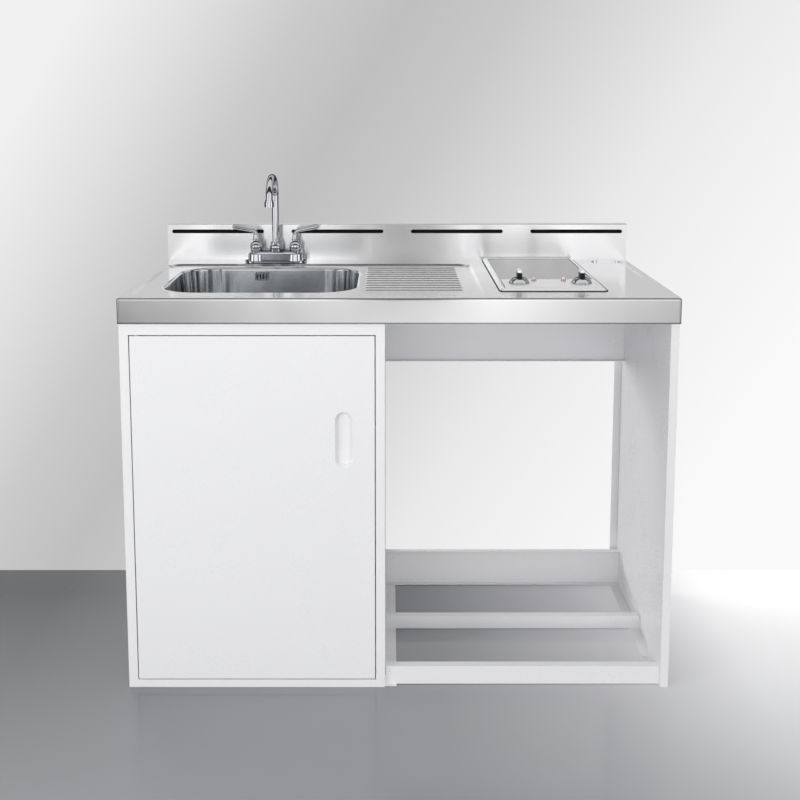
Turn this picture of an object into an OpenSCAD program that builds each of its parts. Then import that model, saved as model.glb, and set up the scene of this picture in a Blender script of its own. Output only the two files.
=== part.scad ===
// Compact kitchenette: one steel worktop with sink, drainer and two-zone hob over a sink cabinet
// and an open bay for an under-counter refrigerator.
// +Z is up, the front faces -Y, and the origin is on the floor under the middle of the worktop.

/* [Worktop] */
// Width of the worktop
unit_w = 1219; // [1190:1:1300]
// Depth from the front lip to the back of the splashback
unit_d = 635; // [625:1:670]
// Height of the worktop above the floor
top_z = 889; // [860:1:940]
// Thickness of the worktop steel
top_t = 2; // [1.5:0.1:2.5]
// Height of the folded lip
lip_h = 57; // [50:1:64]
// Radius of the lip's upper edge
edge_r = 5; // [4:0.5:5.5]
// Radius of the front corners in plan
corner_r = 6; // [5.5:0.5:9]

/* [Sink] */
// Width of the recessed sink and drainer field
field_w = 780; // [760:1:800]
// Depth of the recessed field, front to back
field_d = 501; // [480:1:510]
// Distance of the field from the left end of the worktop
field_left = 19.5; // [17:0.5:30]
// Distance of the field from the front lip
field_front = 22; // [20:1:30]
// Corner radius of the field
field_r = 45; // [30:1:60]
// How far the field is pressed down
field_drop = 4; // [3:0.5:6]
// Width of the sloped edge of the field
field_slope = 7; // [5:0.5:10]
// Width of the bowl opening
bowl_w = 439; // [400:1:450]
// Front-to-back size of the bowl opening
bowl_d = 384; // [340:1:390]
// Depth of the bowl
bowl_depth = 160; // [130:1:180]
// Corner radius of the bowl
bowl_r = 88; // [70:1:110]
// Radius between the bowl's wall and its floor
bowl_foot_r = 34; // [20:1:45]
// Distance of the bowl's middle from the left end of the worktop
bowl_left = 292; // [285:1:300]
// Distance of the bowl's middle from the front lip
bowl_front = 291; // [285:1:296]
// Radius of the drain hole
drain_r = 45; // [42:0.5:48]
// Number of drainer ribs
rib_count = 11; // [7:1:13]
// Spacing of the drainer ribs
rib_pitch = 34.6; // [28:0.1:36]
// Length of a drainer rib
rib_len = 226; // [180:1:240]
// Width of a drainer rib
rib_w = 13; // [9:0.5:16]
// Height of a drainer rib
rib_h = 2.6; // [2:0.1:3.4]

/* [Splashback] */
// Height of the splashback
splash_h = 95; // [80:1:110]
// Depth of the hollow splashback
splash_d = 25; // [20:1:32]
// Number of vent slots
slot_count = 4; // [2:1:4]
// Length of a vent slot
slot_len = 244; // [180:1:270]
// Height of a vent slot
slot_h = 10; // [8:0.5:14]
// Spacing of the vent slots
slot_pitch = 317.2; // [290:0.1:318]
// Distance of the slots below the top of the splashback
slot_drop = 20; // [14:1:40]

/* [Tap] */
// Distance between the hot and cold axes
tap_pitch = 102; // [98:0.5:106]
// Distance of the tap's axis from the splashback
tap_back = 56; // [50:1:60]
// Overall length of the tap's foot
tap_foot_l = 160; // [150:1:170]
// Height of the tap's bridge block
tap_block_h = 28; // [24:1:32]
// Radius of the spout tube
spout_r = 9; // [8:0.1:10]
// Reach of the spout
spout_reach = 100; // [90:1:140]
// Height of the spout's arch above the worktop
spout_h = 234; // [200:1:270]
// Reach of a lever from its axis
lever_reach = 64; // [52:1:75]

/* [Hob] */
// Width of the hob's surround
hob_w = 241; // [232:1:250]
// Front-to-back size of the surround
hob_d = 508; // [490:1:512]
// Distance of the surround from the right end of the worktop
hob_right = 144; // [140:1:150]
// Distance of the surround from the front lip
hob_front = 86; // [80:1:90]
// Height of the surround above the worktop
hob_rise = 6; // [5:0.5:9]
// Margin of the surround round the glass
hob_margin = 10; // [9:0.5:14]
// Front-to-back size of the control strip
strip_d = 112; // [100:1:125]
// Height of the control strip above the surround
strip_h = 3; // [2:0.5:5]
// Height of the case that hangs below the worktop
case_h = 50; // [45:1:52]
// Radius of a knob's skirt
knob_r = 23; // [18:0.5:25]
// Height of a knob
knob_h = 31; // [24:1:36]
// Distance between the knobs
knob_pitch = 142; // [120:1:150]
// Radius of a regulator shaft
shaft_r = 3; // [2.5:0.1:4]
// Radius of the front heating zone
zone_front_r = 70; // [60:1:74]
// Radius of the rear heating zone
zone_rear_r = 82; // [75:1:90]

/* [Cabinet] */
// Thickness of the cabinet steel
wall_t = 1.5; // [1:0.1:2]
// Width of the sink cabinet
cab_w = 575.5; // [560:0.5:590]
// Depth of the cabinet
cab_d = 605; // [596:1:610]
// Width of the face frame's sides
frame_w = 20; // [16:0.5:24]
// Height of the visible top rail of the face frame
frame_top = 25; // [20:1:40]
// Height of the bottom rail of the face frame
frame_bottom = 17.7; // [14:0.1:30]
// Depth of the folded returns round the door
frame_return = 26; // [22:1:36]
// Height of the plumbing opening in the back
plumb_h = 330; // [200:1:400]
// Width of the plumbing opening in the back
plumb_w = 360; // [200:1:420]

/* [Door] */
// Gap round the door
door_gap = 2.4; // [2:0.1:3.5]
// Thickness of the door
door_t = 19; // [16:0.5:22]
// Distance of the hinge axis from the door's edge
hinge_in = 14; // [13:0.5:18]
// Distance of the hinge axis behind the door's face
hinge_back = 6.5; // [6.4:0.1:7]
// Radius of a hinge pin
pin_r = 2.5; // [2:0.1:2.6]
// Length of the recessed pull
pull_l = 129; // [100:1:150]
// Width of the recessed pull
pull_w = 40; // [32:1:50]
// Depth of the recessed pull
pull_depth = 12; // [8:0.5:13]
// Distance of the pull's middle from the door's free edge
pull_in = 68; // [60:1:120]
// Distance of the pull's middle below the door's top
pull_down = 232; // [160:1:380]

/* [Bay] */
// Width of the right side panel's front flange
flange_w = 18; // [14:1:26]
// Depth of the hollow front post of the right side panel
post_d = 140; // [100:1:200]
// Distance of the rear panels behind the front
bay_back = 572; // [540:1:585]
// Height of the lower rear panel
rear_low_h = 95; // [70:1:130]
// Height of the upper rear panel below the lip
rear_high_h = 209; // [150:1:260]
// Height of the front floor rail
rail_front_h = 42; // [36:1:55]
// Height of the middle floor rail
rail_mid_h = 32; // [28:1:45]
// Set-back of the front floor rail
rail_set = 12; // [8:1:25]
// Width of the flanges of the rails
rail_flange = 22; // [16:1:28]

/* [Hidden] */
$fn = 64;
// Clearance between pieces that move past each other, and the running gap of a shaft
gap = 0.3;
run = 0.05;
eps = 0.01;

front_y = -unit_d / 2;
back_y = unit_d / 2;
under_z = top_z - top_t;
lip_z = top_z - lip_h;
field_z = top_z - field_drop;
field_under = field_z - top_t;
field_x = -unit_w / 2 + field_left + field_w / 2;
field_y = front_y + field_front + field_d / 2;

bowl_x = -unit_w / 2 + bowl_left;
bowl_y = front_y + bowl_front;
bowl_edge = 7;
bowl_rim_w = bowl_w + 2 * bowl_edge;
bowl_rim_d = bowl_d + 2 * bowl_edge;
bowl_draft = 8;
bowl_floor_z = field_z - bowl_depth;
bowl_t = 1.5;
bowl_floor_w = bowl_w - 2 * bowl_draft;
bowl_floor_d = bowl_d - 2 * bowl_draft;

rib_x = bowl_x + bowl_w / 2 + 20 + rib_len / 2;
rib_y0 = bowl_y - (rib_count - 1) * rib_pitch / 2 + 12;

land_w = 82;
land_front = 92;
land_side = 20;
land_d = 488;
land_x = unit_w / 2 - land_side - land_w / 2;
land_slant = 46;

splash_y = back_y - splash_d;
splash_t = 1.5;
slot_z = top_z + splash_h - slot_drop;
liner_t = 2;

// Waste: flange on the bowl's floor, cup below it, tail under the cup
cup_r = drain_r - 1;
cup_t = 2;
cup_h = 46;
waste_flange_r = drain_r + 12;
waste_flange_t = 2.5;
tail_thread_r = 23;
tail_thread_h = 16;
tail_r = 19.05;
tail_t = 1.3;
tail_l = 110;
basket_r = cup_r - cup_t - gap;
basket_h = 30;
cup_z = bowl_floor_z - cup_h;

over_side = 29;
over_down = 22;
over_x = bowl_x - over_side;
over_z = field_z - over_down;
over_w = 36;
over_h = 22;
over_t = 1.5;
over_corner_r = 5;
over_seat = 0.5;
over_slots = 4;
over_slot_pitch = 8;
over_slot_l = 13;
over_slot_w = 3.5;
over_screw_r = 1.8;
over_pipe_r = 11;
over_pipe_t = 1.5;
over_elbow = 1.1;
over_reach = 14;
over_bend = 16;
over_wall_y = bowl_y + bowl_d / 2 - bowl_draft * (field_z - over_z) / bowl_depth;
over_up = 2;
over_run_z = cup_z + over_pipe_r + over_up;
over_behind = 22;
over_drop_y = bowl_y + bowl_d / 2 + bowl_edge + over_behind;

tap_x = bowl_x;
tap_y = splash_y - tap_back;
tap_foot_r = (tap_foot_l - tap_pitch) / 2;
tap_gasket_t = 1.5;
tap_z = top_z + tap_gasket_t;
tap_foot_h = 4;
bridge_d = 30;
bridge_r = 5;
bell_foot_r = 22;
bell_foot_h = 17;
bell_taper = 1.5;
bell_shoulder = 3;
bell_neck_r = 14.5;
bell_ball_r = 16;
bell_ball_z = tap_z + tap_block_h + 12;
cart_r = 10;
cart_h = 34;
cart_z = tap_z + 8;
stem_r = 4;
lever_stub_r = 7.5;
lever_bend_r = 12;
lever_neck_z = bell_ball_z + bell_ball_r + 0.5;
lever_bend_z = lever_neck_z + 14;
lever_tilt = 12;
lever_seam = 1;
lever_step = 0.5;
lever_end_r = 7;
lever_thin_r = 5.3;
spout_seat_z = tap_z + tap_block_h - 14;
collar_r = 15.5;
collar_h = 24;
arch_r = spout_reach / 2;
arch_z = top_z + spout_h - spout_r - arch_r;
spout_turn = -3;
spout_wall = 1.5;
aer_r = 12.5;
aer_h = 17;
aer_neck_r = 10.8;
aer_neck_h = 5;
aer_drop = 4;
shank_r = 10.3;
shank_l = 62;
shank_bore = 7;
shank_free = 40;
hole_r = 14;
nut_h = 12;
nut_r = 20;
nut_flange = 3;
nut_wing = 5;
nut_wing_t = 4;
nut_room = nut_r + nut_wing + 2;

hob_x = unit_w / 2 - hob_right - hob_w / 2;
hob_y = front_y + hob_front + hob_d / 2;
hob_cut_in = 9;
hob_cut_w = hob_w - 2 * hob_cut_in;
hob_cut_d = hob_d - 2 * hob_cut_in;
hob_cut_r = 6;
hob_corner_r = 8;
hob_bevel = 6;
hob_top = top_z + hob_rise;
hob_plate_t = 2;
glass_t = 4;
glass_w = hob_w - 2 * hob_margin - 6;
glass_back = 14;
glass_front_y = hob_y - hob_d / 2 + hob_margin + strip_d;
glass_d = hob_y + hob_d / 2 - glass_back - glass_front_y;
glass_y = glass_front_y + glass_d / 2;
glass_z = hob_top - 1;
strip_w = glass_w;
strip_y = hob_y - hob_d / 2 + hob_margin + strip_d / 2;
strip_top = hob_top + strip_h;
strip_t = 1.5;
case_t = 1.2;
case_slot_l = 60;
case_slot_w = 6;
case_slot_pitch = 20;
case_w = hob_cut_w - 3;
case_d = hob_cut_d - 3;
case_top = under_z - 0.5;
case_z = case_top - case_h;
knob_y = strip_y - 4;
knob_gap = 0.6;
skirt_h = 12;
skirt_top_r = 13;
skirt_step = 3;
blade_t = 11;
grip_r = knob_r * 0.72;
reg_w = 36;
reg_h = 26;
reg_top = strip_top - strip_t - 0.4;
shaft_len = 26;
shaft_up = 8;
lamp_r = 6;
lamp_pitch = 68;
lamp_back = 30;
lamp_y = knob_y + lamp_back;
lamp_h = 10;
lamp_lens_r = 5;
zone_h = 20;
zone_gap = 4;
zone_top = glass_z - glass_t - 0.3;
zone_front_y = glass_front_y + zone_front_r + 8;
zone_rear_y = zone_front_y + zone_front_r + zone_rear_r + zone_gap;
box_w = 110;
box_d = 38;
box_h = 80;
box_up = 40;
gland_r = 10.5;
gland_bore = 5;
gland_l = 20;

// Cabinet frame of reference: its skin lies inside the worktop's lip
skirt_gap = ceil(20 * ((corner_r - top_t) * (1 - cos(45)) + 0.1)) / 20;
cab_out = unit_w / 2 - top_t - skirt_gap;
cab_left = -cab_out;
cab_y0 = front_y + top_t + skirt_gap;
side_top = top_z - edge_r;
cab_y1 = cab_y0 + cab_d;
div_x1 = cab_left + cab_w;
div_x0 = div_x1 - wall_t;
bay_x1 = cab_out - flange_w;
open_x0 = cab_left + frame_w;
open_x1 = div_x1 - frame_w;
open_z0 = frame_bottom;
open_z1 = lip_z - frame_top;
flange = 20;

door_x0 = open_x0 + door_gap;
door_x1 = open_x1 - door_gap;
door_z0 = open_z0 + door_gap;
door_z1 = open_z1 - door_gap;
door_y0 = cab_y0;
door_y1 = door_y0 + door_t;
hinge_x = door_x0 + hinge_in;
hinge_y = door_y0 + hinge_back;
pin_up = 9;
pin_block_h = 30;
pin_block_x = 10;
bush_r = pin_r + 1.2;
bush_flange_r = bush_r + 1.1;
pull_x = door_x1 - pull_in;
pull_z = door_z1 - pull_down;
pull_t = 1.2;
liner_rim = 6;
pull_slope = 8;
catch_w = 16;
catch_l = 46;
catch_d = 14;
catch_up = 165;
catch_z = (door_z0 + door_z1) / 2 + catch_up;
strike_t = 1.5;

rear_y = front_y + bay_back;
bay_x0 = div_x1;
inner_x1 = cab_out - wall_t;
runner_leg = 26;
rail_z = wall_t;
rail_front_y = cab_y0 + rail_set;
rail_mid_y = (rail_front_y + rear_y) / 2;
rear_low_z = wall_t;
rear_high_z = lip_z - rear_high_h;
fold = 14;
rear_rail_gap = 1.7;
rear_rail_y = splash_y - rear_rail_gap;
rear_rail_d = 16;
plumb_up = 60;
wall_hole_r = 3.5;
wall_hole_pitch = 1000;
screw_in = 22;
hook_w = 13;
hook_h = 26;
hook_y = rear_y - fold - hook_w - 2;
screw_r = 3.5;
screw_h = 2;

// ---- shared shapes ----

// Rounded rectangle centred on the origin
module rounded(w, d, r) {
    square([w - 2 * r, d], center = true);
    square([w, d - 2 * r], center = true);
    for (sx = [-1, 1], sy = [-1, 1])
        translate([sx * (w / 2 - r), sy * (d / 2 - r)]) circle(r);
}

// Slot with round ends, along X
module stadium(l, w) {
    square([l - w, w], center = true);
    for (s = [-1, 1])
        translate([s * (l - w) / 2, 0]) circle(w / 2);
}

// Carries a profile round a rounded rectangle: x = 0 is the outline, -x is inside, y is up
module round_path(w, d, r) {
    for (q = [0:3]) {
        a = q * 90;
        across = q % 2 == 0 ? w : d;
        along = q % 2 == 0 ? d : w;
        rotate([0, 0, a]) {
            translate([across / 2, 0, 0]) rotate([90, 0, 0])
                linear_extrude(along - 2 * r, center = true) children();
            translate([across / 2 - r, along / 2 - r, 0])
                rotate_extrude(angle = 90) translate([r, 0]) children();
        }
    }
}

// Quarter of a bent sheet: centre at the origin, in the quadrant of +x and +y
module bend(r, t) {
    intersection() {
        difference() {
            circle(r);
            circle(r - t);
        }
        square(r + 1);
    }
}

// Box from one corner to the other
module block(a, b) {
    translate(a) cube(b - a);
}

module tube(r, bore, h) {
    difference() {
        cylinder(r = r, h = h);
        translate([0, 0, -1]) cylinder(r = bore, h = h + 2);
    }
}

// ---- worktop ----

module lip_profile() {
    translate([-edge_r, top_z - edge_r]) bend(edge_r, top_t);
    translate([-top_t, lip_z]) square([top_t, lip_h - edge_r]);
}

// Plan of the flat top inside the rounded edge
module top_plan() {
    r = corner_r - edge_r;
    w = unit_w - 2 * edge_r;
    y0 = front_y + edge_r;
    translate([-w / 2 + r, y0]) square([w - 2 * r, back_y - y0]);
    translate([-w / 2, y0 + r]) square([w, back_y - y0 - r]);
    for (s = [-1, 1])
        translate([s * (w / 2 - r), y0 + r]) circle(r);
}

module field_edge() {
    polygon([[0, top_z], [-field_slope, field_z], [-field_slope, field_under], [0, under_z]]);
}

// Drainer rib: a low round ridge with round ends
module rib(w, h, l) {
    r = (w * w / 4 + h * h) / (2 * h);
    translate([0, 0, h - r]) {
        intersection() {
            rotate([0, 90, 0]) cylinder(r = r, h = l - w, center = true);
            translate([0, 0, r - h / 2]) cube([l, w, h], center = true);
        }
        for (s = [-1, 1])
            translate([s * (l - w) / 2, 0, 0]) rotate_extrude() intersection() {
                circle(r);
                translate([0, r - h]) square([w / 2, h]);
            }
    }
}

module landing_plan() {
    difference() {
        translate([land_x, front_y + land_front + land_d / 2]) rounded(land_w, land_d, 22);
        translate([land_x + land_w / 2, front_y + land_front])
            rotate(180 - atan2(land_slant, land_w)) square([land_w * 1.5, land_front]);
    }
}

module worktop() color("silver") difference() {
    union() {
        translate([0, 0, under_z]) linear_extrude(top_t) difference() {
            top_plan();
            translate([field_x, field_y]) rounded(field_w, field_d, field_r);
            landing_plan();
        }
        for (s = [-1, 1]) {
            translate([s * unit_w / 2, 0, 0]) mirror([s < 0 ? 1 : 0, 0, 0])
                translate([0, back_y, 0]) rotate([90, 0, 0])
                    linear_extrude(unit_d - corner_r) lip_profile();
            translate([s * (unit_w / 2 - corner_r), front_y + corner_r, 0])
                rotate([0, 0, s > 0 ? -90 : 180]) rotate_extrude(angle = 90)
                    translate([corner_r, 0]) lip_profile();
        }
        translate([0, front_y, 0]) rotate([0, 0, -90]) rotate([90, 0, 0])
            linear_extrude(unit_w - 2 * corner_r, center = true) lip_profile();
        translate([field_x, field_y, 0]) round_path(field_w, field_d, field_r) field_edge();
        translate([field_x, field_y, field_under]) linear_extrude(top_t)
            rounded(field_w - 2 * field_slope, field_d - 2 * field_slope, field_r - field_slope);
        for (i = [0:rib_count - 1])
            translate([rib_x, rib_y0 + i * rib_pitch, field_z]) rib(rib_w, rib_h, rib_len);
        translate([0, 0, under_z - 2]) linear_extrude(2 + eps) landing_plan();
        block([-unit_w / 2 + top_t, back_y - top_t, under_z - 20], [unit_w / 2 - top_t, back_y, under_z]);
    }
    translate([bowl_x, bowl_y, field_under - 1]) linear_extrude(top_t + 2)
        rounded(bowl_rim_w, bowl_rim_d, bowl_r + bowl_edge);
    translate([hob_x, hob_y, field_under - 1]) linear_extrude(top_z + rib_h - field_under + 1)
        rounded(hob_cut_w, hob_cut_d, hob_cut_r);
    for (s = [-1, 1])
        translate([tap_x + s * tap_pitch / 2, tap_y, under_z - 1]) cylinder(r = hole_r, h = top_t + 2);
    for (i = [0:slot_count - 1])
        translate([(i - (slot_count - 1) / 2) * slot_pitch, splash_y + splash_d / 2, under_z - 1])
            linear_extrude(top_t + 2) stadium(slot_len, splash_d - 12);
}

module bowl_profile() {
    wall_h = bowl_depth - bowl_edge - bowl_foot_r;
    translate([0, field_z - bowl_edge]) mirror([1, 0]) bend(bowl_edge, bowl_t);
    polygon([[-bowl_edge, field_z - bowl_edge], [-bowl_edge + bowl_t, field_z - bowl_edge],
        [-bowl_edge - bowl_draft + bowl_t, bowl_floor_z + bowl_foot_r],
        [-bowl_edge - bowl_draft, bowl_floor_z + bowl_foot_r]]);
    translate([-bowl_edge - bowl_draft - bowl_foot_r, bowl_floor_z + bowl_foot_r]) mirror([0, 1])
        bend(bowl_foot_r + bowl_t, bowl_t);
}

module sink_bowl() color("silver") difference() {
    union() {
        translate([bowl_x, bowl_y, 0]) round_path(bowl_rim_w, bowl_rim_d, bowl_r + bowl_edge)
            bowl_profile();
        translate([bowl_x, bowl_y, bowl_floor_z - bowl_t]) linear_extrude(bowl_t)
            rounded(bowl_floor_w - 2 * bowl_foot_r, bowl_floor_d - 2 * bowl_foot_r,
                bowl_r - bowl_draft - bowl_foot_r);
    }
    translate([bowl_x, bowl_y, bowl_floor_z - 5]) cylinder(r = drain_r, h = 10);
    translate([over_x, over_wall_y, over_z]) rotate([90, 0, 0]) linear_extrude(20, center = true) {
        overflow_slots();
        circle(over_screw_r);
    }
}

// ---- splashback ----

module slot_row(l, h) {
    for (i = [0:slot_count - 1])
        translate([(i - (slot_count - 1) / 2) * slot_pitch, slot_z]) stadium(l, h);
}

module splash_section(d, h, r) {
    square([d, h - r]);
    translate([r, 0]) square([d - r, h]);
    translate([r, h - r]) circle(r);
}

module splashback() color("gainsboro") difference() {
    translate([-unit_w / 2, splash_y, top_z]) rotate([90, 0, 90]) linear_extrude(unit_w)
        splash_section(splash_d, splash_h, 3);
    translate([-unit_w / 2 + splash_t, splash_y + splash_t, top_z - 1]) rotate([90, 0, 90])
        linear_extrude(unit_w - 2 * splash_t)
            splash_section(splash_d - 2 * splash_t, splash_h - splash_t + 1, 1.5);
    translate([0, splash_y + splash_t + 1, 0]) rotate([90, 0, 0]) linear_extrude(splash_t + 2)
        slot_row(slot_len, slot_h);
}

// Dark louvre strip behind the slots, with a slanted blade along each slot
module splash_vent_liner() color("black") {
    y = splash_y + splash_t;
    difference() {
        translate([-unit_w / 2 + 12, y, slot_z - slot_h - 4])
            cube([unit_w - 24, liner_t, 2 * slot_h + 8]);
        translate([0, y + liner_t + 1, 0]) rotate([90, 0, 0]) linear_extrude(liner_t + 2)
            slot_row(slot_len, slot_h);
    }
    for (i = [0:slot_count - 1])
        translate([(i - (slot_count - 1) / 2) * slot_pitch - slot_len / 2, y + liner_t, slot_z - slot_h])
            rotate([90, 0, 90]) linear_extrude(slot_len)
                polygon([[0, 0], [12, 2 * slot_h], [12 + liner_t, 2 * slot_h], [liner_t, 0]]);
}

// ---- waste and overflow ----

module overflow_slots() {
    for (i = [0:over_slots - 1])
        translate([(i - (over_slots - 1) / 2) * over_slot_pitch, 0]) rotate(90)
            stadium(over_slot_l, over_slot_w);
}

module overflow_rose() color("silver") translate([over_x, over_wall_y - bowl_t / 2 - over_seat, over_z])
    rotate([90, 0, 0]) linear_extrude(over_t) difference() {
        rounded(over_w, over_h, over_corner_r);
        overflow_slots();
        circle(over_screw_r + 0.2);
    }

module overflow_screw() color("gray") {
    y = over_wall_y - bowl_t / 2 - over_seat - over_t;
    translate([over_x, y, over_z]) rotate([90, 0, 0]) difference() {
        cylinder(r1 = 3.6, r2 = 2.8, h = 1.6);
        translate([-5, -0.4, 1]) cube([10, 0.8, 2]);
    }
    translate([over_x, y, over_z]) rotate([-90, 0, 0]) cylinder(r = over_screw_r, h = over_t + 6);
}

module pipe_bend(r, bore, bend_r) {
    rotate_extrude(angle = 90) translate([bend_r, 0]) difference() {
        circle(r);
        circle(bore);
    }
}

module overflow_pipe() color("white") {
    r = over_pipe_r;
    bore = r - over_pipe_t;
    y0 = over_wall_y + bowl_t + over_elbow;
    y1 = over_drop_y - over_bend;
    z_hi = over_z;
    z_lo = over_run_z;
    cup_y = bowl_y + sqrt(pow(cup_r + gap, 2) - pow(over_x - bowl_x, 2));
    difference() {
        union() {
            translate([over_x, y0, z_hi]) rotate([-90, 0, 0]) tube(r, bore, y1 - y0);
            translate([over_x, y1, z_hi - over_bend]) rotate([90, 0, 90]) pipe_bend(r, bore, over_bend);
            translate([over_x, over_drop_y, z_lo + over_bend]) tube(r, bore, z_hi - z_lo - 2 * over_bend);
            translate([over_x, y1, z_lo + over_bend]) rotate([0, 90, 0]) pipe_bend(r, bore, over_bend);
            translate([over_x, y1, z_lo]) rotate([90, 0, 0]) tube(r, bore, y1 - cup_y + over_reach);
        }
        translate([bowl_x, bowl_y, z_lo - 2 * r]) cylinder(r = cup_r + gap, h = 4 * r);
    }
}

module waste_body() color("silver") translate([bowl_x, bowl_y, 0]) difference() {
    rotate_extrude() {
        translate([cup_r - cup_t, bowl_floor_z]) square([waste_flange_r - cup_r + cup_t, waste_flange_t]);
        translate([cup_r - cup_t, cup_z]) square([cup_t, cup_h]);
        translate([tail_thread_r - 3, cup_z - cup_t]) square([cup_r - tail_thread_r + 3, cup_t]);
        translate([tail_thread_r - 3, cup_z - cup_t - tail_thread_h]) square([3, tail_thread_h]);
    }
    translate([over_x - bowl_x, 0, over_run_z]) rotate([-90, 0, 0])
        cylinder(r = over_pipe_r - over_pipe_t, h = cup_r * 2);
}

module waste_gasket() color("dimgray") translate([bowl_x, bowl_y, bowl_floor_z - bowl_t - 3])
    tube(waste_flange_r - 2, cup_r, 3);

module waste_locknut() color("goldenrod") translate([bowl_x, bowl_y, bowl_floor_z - bowl_t - 3 - nut_h])
    difference() {
        union() {
            cylinder(r = waste_flange_r - 3, h = 4);
            for (i = [0:7])
                rotate([0, 0, i * 45]) translate([cup_r + 4, -4, 0]) cube([10, 8, nut_h]);
            cylinder(r = cup_r + 6, h = nut_h);
        }
        translate([0, 0, -1]) cylinder(r = cup_r, h = nut_h + 2);
    }

module waste_tailpiece() color("silver") translate([bowl_x, bowl_y, 0]) rotate_extrude() {
    z = cup_z - cup_t - tail_thread_h;
    translate([tail_r - tail_t, z - tail_l]) square([tail_t, tail_l]);
    translate([tail_r - tail_t, z - 2]) square([tail_thread_r - tail_r + tail_t + 4, 2]);
    translate([tail_thread_r, z]) square([4, 12]);
}

module strainer_basket() color("silver") translate([bowl_x, bowl_y, 0]) difference() {
    rotate_extrude() {
        z0 = cup_z + gap;
        translate([0, z0]) square([basket_r - 6, 1.5]);
        translate([basket_r - 7.5, z0]) square([1.5, basket_h]);
        translate([basket_r - 7.5, z0 + basket_h - 1.5]) square([7.5, 1.5]);
        translate([0, z0]) square([3, basket_h + 8]);
        translate([0, z0 + basket_h + 8]) intersection() {
            circle(8);
            square([9, 9]);
        }
    }
    for (i = [0:15])
        rotate([0, 0, i * 22.5]) translate([basket_r / 2 - 1, 0, cup_z - 1]) cylinder(r = 2.2, h = 4);
}

// ---- tap ----

module at_tap(s) {
    translate([tap_x + s * tap_pitch / 2, tap_y, 0]) children();
}

// Room round a tap's shank and nut, cut from what stands behind them
module tap_room() {
    for (s = [-1, 1])
        at_tap(s) translate([0, 0, tap_z - shank_l - 1]) cylinder(r = nut_room, h = shank_l + 2);
}

module bell_profile() {
    neck_z = tap_z + tap_foot_h + bell_foot_h;
    translate([0, tap_z]) square([tap_foot_r - 4, tap_foot_h]);
    polygon([[0, tap_z + tap_foot_h], [bell_foot_r, tap_z + tap_foot_h], [bell_foot_r - bell_taper, neck_z],
        [bell_neck_r, neck_z + bell_shoulder], [bell_neck_r, tap_z + tap_block_h + 2],
        [0, tap_z + tap_block_h + 2]]);
    intersection() {
        translate([0, bell_ball_z]) circle(bell_ball_r);
        translate([0, tap_z + tap_block_h - 2]) square([2 * bell_ball_r, 2 * bell_ball_r]);
    }
}

module tap_body() color("lightgray") difference() {
    union() {
        translate([tap_x, tap_y, tap_z]) linear_extrude(tap_foot_h)
            stadium(tap_foot_l, 2 * tap_foot_r - 6);
        translate([tap_x, tap_y, tap_z]) rotate([90, 0, 90])
            linear_extrude(tap_pitch, center = true) {
                translate([-bridge_d / 2, 0]) square([bridge_d, tap_block_h - bridge_r]);
                translate([bridge_r - bridge_d / 2, 0]) square([bridge_d - 2 * bridge_r, tap_block_h]);
                for (s = [-1, 1])
                    translate([s * (bridge_d / 2 - bridge_r), tap_block_h - bridge_r]) circle(bridge_r);
            }
        for (s = [-1, 1])
            at_tap(s) rotate_extrude() bell_profile();
    }
    for (s = [-1, 1])
        at_tap(s) {
            translate([0, 0, cart_z]) cylinder(r = cart_r, h = cart_h);
            translate([0, 0, cart_z]) cylinder(r = stem_r + 1, h = 2 * (bell_ball_z - cart_z));
            translate([0, 0, tap_z - 1]) cylinder(r = shank_bore, h = 30);
        }
    translate([tap_x, tap_y, spout_seat_z]) cylinder(r = spout_r + 2, h = tap_block_h);
    translate([tap_x, tap_y, tap_z + 8]) rotate([0, 90, 0])
        cylinder(r = 4, h = tap_pitch, center = true);
}

module tap_gasket() color("dimgray") translate([tap_x, tap_y, top_z]) linear_extrude(tap_gasket_t)
    difference() {
        stadium(tap_foot_l - 3, 2 * tap_foot_r - 9);
        for (s = [-1, 1])
            translate([s * tap_pitch / 2, 0]) circle(hole_r);
    }

module cartridge() {
    translate([0, 0, cart_z]) difference() {
        cylinder(r = cart_r - 0.1, h = cart_h - 0.2);
        translate([0, 0, 12]) cylinder(r = stem_r + run, h = cart_h);
        translate([0, 0, -1]) cylinder(r = 5, h = 9);
    }
}

module tap_cartridge_hot() color("goldenrod") at_tap(-1) cartridge();

module tap_cartridge_cold() color("goldenrod") at_tap(1) cartridge();

module stem() {
    translate([0, 0, cart_z + 12 + gap]) cylinder(r = stem_r, h = lever_neck_z + 8 - cart_z - 12 - gap);
}

module tap_stem_hot() color("goldenrod") at_tap(-1) stem();

module tap_stem_cold() color("goldenrod") at_tap(1) stem();

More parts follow.
